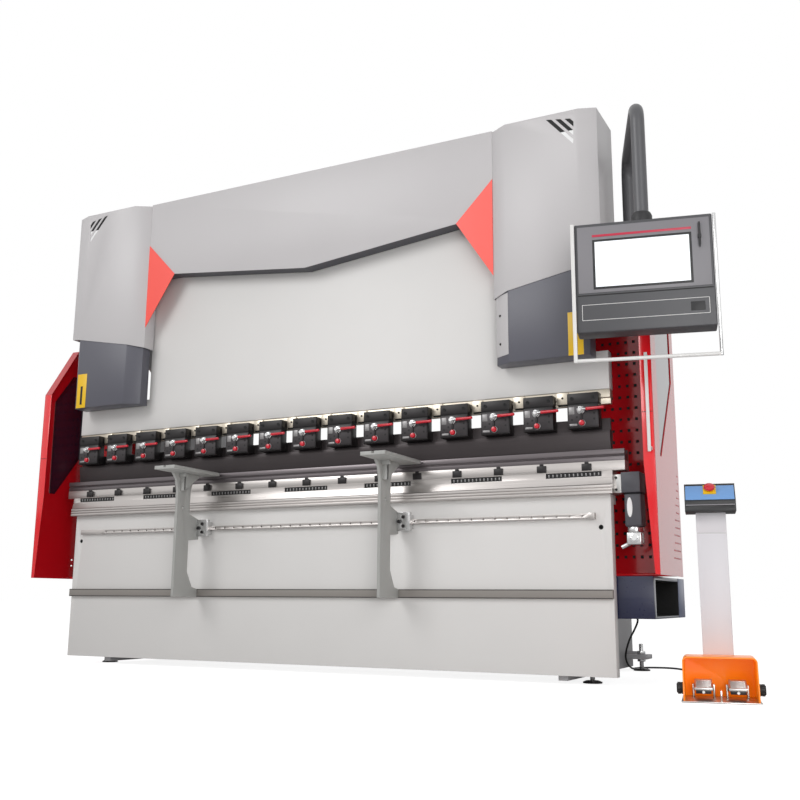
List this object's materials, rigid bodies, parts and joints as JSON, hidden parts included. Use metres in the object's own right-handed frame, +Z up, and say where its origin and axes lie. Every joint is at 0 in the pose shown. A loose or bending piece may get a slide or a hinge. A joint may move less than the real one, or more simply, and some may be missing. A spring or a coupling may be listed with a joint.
{
  "type": "press brake",
  "caption": "Hydraulic press brake for bending sheet metal, with quick-clamped punch, sheet supports, side guards, pendant console and pedal stand.",
  "frame": {"origin": "on the floor, in the middle of the row's overall box", "axes": "+Z up, +X along the bed towards the pedal stand, -Y towards the operator"},
  "size_m": [4.092, 1.8622, 2.671],
  "materials": {
    "ram_paint": "satin paint",
    "frame_paint": "satin paint",
    "cover_paint": "satin paint",
    "support_paint": "satin paint",
    "machined_steel": "ground",
    "tool_steel": "ground, dark",
    "black_oxide": "black oxide",
    "tongue_steel": "machined",
    "motor_paint": "satin paint",
    "accent_paint": "satin paint",
    "cylinder_cover_paint": "satin paint",
    "guard_paint": "gloss paint",
    "smoked_glass": "smoked",
    "pale_handle": "satin paint",
    "cabinet_paint": "satin paint",
    "polished_rod": "polished",
    "hub_steel": "turned",
    "red_handle": "gloss",
    "pendant_paint": "satin paint",
    "console_paint": "satin paint",
    "screen": "glossy screen",
    "black_plastic": "matte",
    "stand_steel": "brushed",
    "hood_paint": "satin paint",
    "column_paint": "satin paint",
    "panel_blue": "satin paint",
    "cord_rubber": "matte"
  },
  "bodies": {
    "base": {"bed_plate": "ram_paint", "left_frame": "frame_paint", "right_frame": "frame_paint", "cross_members": "frame_paint", "leveling_feet": "machined_steel", "crowning_table": "machined_steel", "crowning_wedges": "tool_steel", "die_rail": "machined_steel", "lower_die": "tool_steel", "die_clamps": "black_oxide", "crowning_gear_motor": "motor_paint", "support_rail": "machined_steel", "lower_guide_bar": "frame_paint", "centre_cover": "cover_paint", "left_wing_cover": "cover_paint", "right_wing_cover": "cover_paint", "accent_plates": "accent_paint", "cylinder_covers": "cylinder_cover_paint", "left_guard": "guard_paint", "right_guard": "guard_paint", "guard_windows": "smoked_glass", "guard_handle": "pale_handle", "electrical_cabinet": "cabinet_paint", "cylinder_barrels": "motor_paint", "hydraulic_unit": "frame_paint", "back_gauge": "machined_steel", "pendant_base": "pendant_paint", "pedal_base": "stand_steel", "pedal_hood": "hood_paint", "hood_knobs": "black_plastic", "pedal_column": "column_paint", "control_box": "black_plastic", "control_panel": "panel_blue", "pedal_cord": "cord_rubber"},
    "ram": {"ram_plate": "ram_paint", "ram_tongue": "tongue_steel", "punch": "tool_steel", "piston_rods": "polished_rod", "clamp_bodies": "black_oxide", "clamp_hubs": "hub_steel", "clamp_levers": "red_handle", "release_buttons": "red_handle"},
    "left_support": {"left_support_arm": "support_paint", "left_support_carriage": "machined_steel"},
    "right_support": {"right_support_arm": "support_paint", "right_support_carriage": "machined_steel"},
    "pendant": {"pendant_arm": "pendant_paint"},
    "console": {"console_body": "console_paint", "console_screen": "screen", "console_handle": "pale_handle", "console_stylus": "black_plastic"},
    "left_foot_pedal": {"left_pedal": "stand_steel"},
    "right_foot_pedal": {"right_pedal": "stand_steel"},
    "emergency_stop": {"estop_button": "red_handle"}
  },
  "joints": [
    {"name": "ram_slide", "type": "slide", "parent": "base", "child": "ram", "axis": [0, 0, 1], "range_m": [0, 0.15]},
    {"name": "left_support_slide", "type": "slide", "parent": "base", "child": "left_support", "axis": [1, 0, 0], "range_m": [-0.3, 0.3]},
    {"name": "right_support_slide", "type": "slide", "parent": "base", "child": "right_support", "axis": [1, 0, 0], "range_m": [-0.3, 0.3]},
    {"name": "pendant_swing", "type": "hinge", "parent": "base", "child": "pendant", "pos_m": [1.47298, -0.17003, 1.99], "axis": [0, 0, 1], "range_deg": [-15, 90]},
    {"name": "console_turn", "type": "hinge", "parent": "pendant", "child": "console", "pos_m": [1.66298, -0.76503, 1.95], "axis": [0, 0, 1], "range_deg": [-30, 30]},
    {"name": "left_pedal_hinge", "type": "hinge", "parent": "base", "child": "left_foot_pedal", "pos_m": [1.8025, -0.68371, 0.042], "axis": [0.9848, 0.1736, 0], "range_deg": [0, 10], "stiffness_Nm_per_rad": 20, "springref_deg": -8.59},
    {"name": "right_pedal_hinge", "type": "hinge", "parent": "base", "child": "right_foot_pedal", "pos_m": [1.92462, -0.66218, 0.042], "axis": [0.9848, 0.1736, 0], "range_deg": [0, 10], "stiffness_Nm_per_rad": 20, "springref_deg": -8.59},
    {"name": "emergency_stop_push", "type": "slide", "parent": "base", "child": "emergency_stop", "axis": [-0.1244, 0.7056, -0.6976], "range_m": [0, 0.005], "stiffness_N_per_m": 2000, "springref_m": -0.002}
  ]
}
